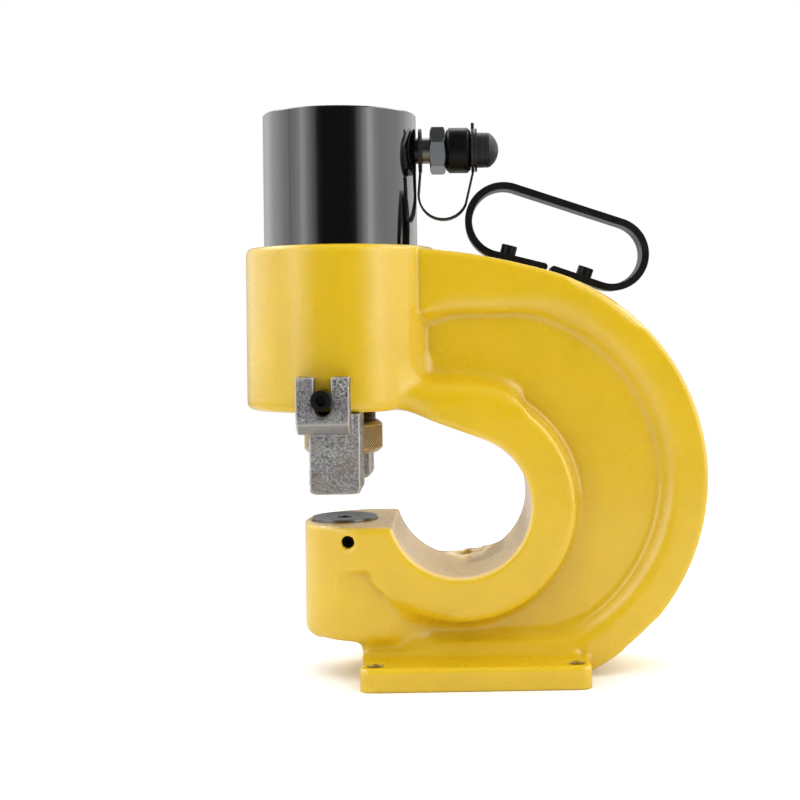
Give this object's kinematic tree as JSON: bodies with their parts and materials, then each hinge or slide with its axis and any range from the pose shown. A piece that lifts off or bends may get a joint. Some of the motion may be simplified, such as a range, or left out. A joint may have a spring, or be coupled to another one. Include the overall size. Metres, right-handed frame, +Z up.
{
  "type": "hydraulic hole punch",
  "caption": "C-frame hydraulic hole punch with an upright cylinder, spring-return ram, screw-held punch, die in the lower jaw, slotted stripper feet, carry handle and capped oil coupler.",
  "frame": {"origin": "centre of the base plate's underside, in the middle of its four bolt holes", "axes": "+Z up along the punch stroke's line towards the cylinder, +X from the punch towards the round back of the frame, +Y away from the viewer of the picture"},
  "size_m": [0.2864, 0.16, 0.35],
  "materials": {
    "yellow_paint": "gloss",
    "black_gloss_paint": "gloss",
    "black_satin_paint": "satin",
    "black_rubber": "matte",
    "bronze": "satin",
    "ground_steel": "polished",
    "dark_steel": "satin",
    "spring_steel": "satin",
    "golden_zinc": "satin",
    "black_oxide": "satin",
    "blasted_steel": "matte",
    "dull_plated_steel": "matte",
    "plated_steel": "satin"
  },
  "bodies": {
    "frame_body": {"frame": "yellow_paint", "cylinder_barrel": "black_gloss_paint", "barrel_seal": "black_rubber", "rod_guide": "bronze", "rod_wiper": "black_rubber", "die": "dark_steel", "die_screw": "black_oxide", "stripper_screws": "black_oxide", "carry_handle": "black_satin_paint", "handle_screws": "black_oxide", "port_nipple": "dull_plated_steel", "coupler_body": "plated_steel", "valve_spring": "spring_steel", "cap_strap": "black_rubber"},
    "ram": {"piston": "ground_steel", "piston_seal": "black_rubber", "wear_ring": "bronze", "ram_rod": "dark_steel", "return_spring": "spring_steel", "punch": "dark_steel"},
    "nut": {"punch_nut": "golden_zinc"},
    "foot_front": {"stripper_front": "blasted_steel"},
    "foot_rear": {"stripper_rear": "blasted_steel"},
    "sleeve": {"coupler_sleeve": "black_oxide"},
    "valve": {"valve_poppet": "ground_steel"},
    "cap": {"dust_cap": "black_rubber", "cap_loop": "black_rubber"}
  },
  "joints": [
    {"name": "ram_stroke", "type": "slide", "parent": "frame_body", "child": "ram", "axis": [0, 0, -1], "range_m": [0, 0.025], "stiffness_N_per_m": 10000, "springref_m": -0.03, "deforming": ["return_spring"]},
    {"name": "punch_nut_turn", "type": "hinge", "parent": "ram", "child": "nut", "pos_m": [-0.082, 0, 0.147], "axis": [0, 0, 1], "continuous": true},
    {"name": "stripper_front_adjust", "type": "slide", "parent": "frame_body", "child": "foot_front", "axis": [0, 0, -1], "range_m": [0, 0.01]},
    {"name": "stripper_rear_adjust", "type": "slide", "parent": "frame_body", "child": "foot_rear", "axis": [0, 0, -1], "range_m": [0, 0.01]},
    {"name": "coupler_sleeve_turn", "type": "hinge", "parent": "frame_body", "child": "sleeve", "pos_m": [-0.007, 0, 0.3274], "axis": [1, 0, 0], "continuous": true},
    {"name": "coupler_valve", "type": "slide", "parent": "frame_body", "child": "valve", "axis": [-1, 0, 0], "range_m": [0, 0.003], "stiffness_N_per_m": 800, "springref_m": -0.005},
    {"name": "dust_cap_off", "type": "slide", "parent": "frame_body", "child": "cap", "axis": [1, 0, 0], "range_m": [0, 0.022]}
  ]
}
